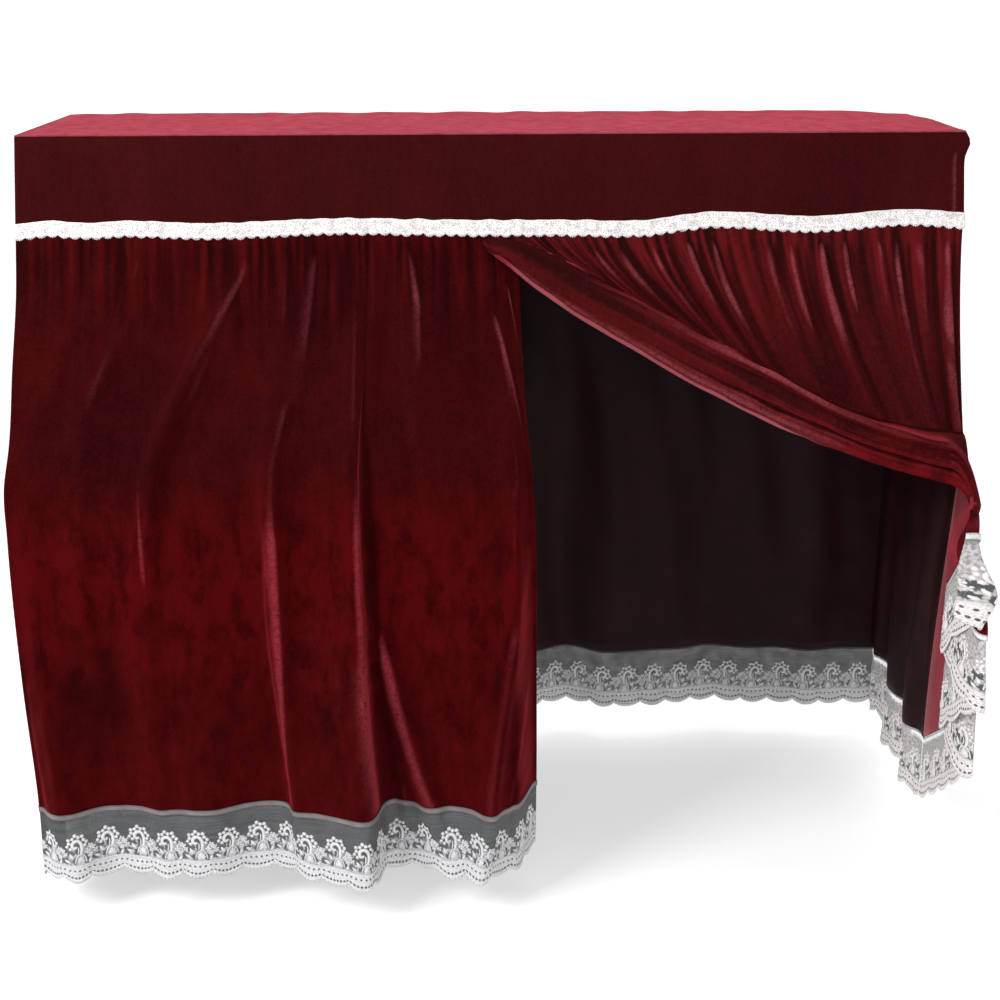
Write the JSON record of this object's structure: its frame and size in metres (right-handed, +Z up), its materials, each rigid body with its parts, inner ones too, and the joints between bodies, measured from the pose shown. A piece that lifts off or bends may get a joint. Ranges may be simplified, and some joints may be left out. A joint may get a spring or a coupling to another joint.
{
  "type": "piano cover",
  "caption": "Fitted velvet cover for an upright piano: flat top, plain band, lace trim and a gathered skirt with a lace hem, one front leaf hanging closed and the other swept aside.",
  "frame": {"origin": "middle of the underside of the top panel, where the cover lies on the piano's lid", "axes": "+X to the player's right, -Y out of the front, +Z up"},
  "size_m": [1.5896, 0.7476, 1.218],
  "materials": {
    "velvet": "soft wine-red pile velvet",
    "lace": "white embroidered net lace",
    "tape": "pale grey-pink woven tape"
  },
  "bodies": {
    "root": {"top_panel": "velvet", "band_front": "velvet", "band_left": "velvet", "band_right": "velvet", "band_back": "velvet", "trim_front": "lace", "trim_left": "lace", "trim_right": "lace", "trim_back": "lace", "skirt_left_leaf": "velvet", "skirt_right_leaf": "velvet", "skirt_left_side": "velvet", "skirt_right_side": "velvet", "skirt_back": "velvet", "lace_left_leaf": "lace", "lace_right_leaf": "lace", "lace_left_side": "lace", "lace_right_side": "lace", "lace_back": "lace", "tape_left_leaf": "tape", "tape_right_leaf": "tape", "tape_left_side": "tape", "tape_right_side": "tape", "tape_back": "tape"}
  },
  "joints": []
}
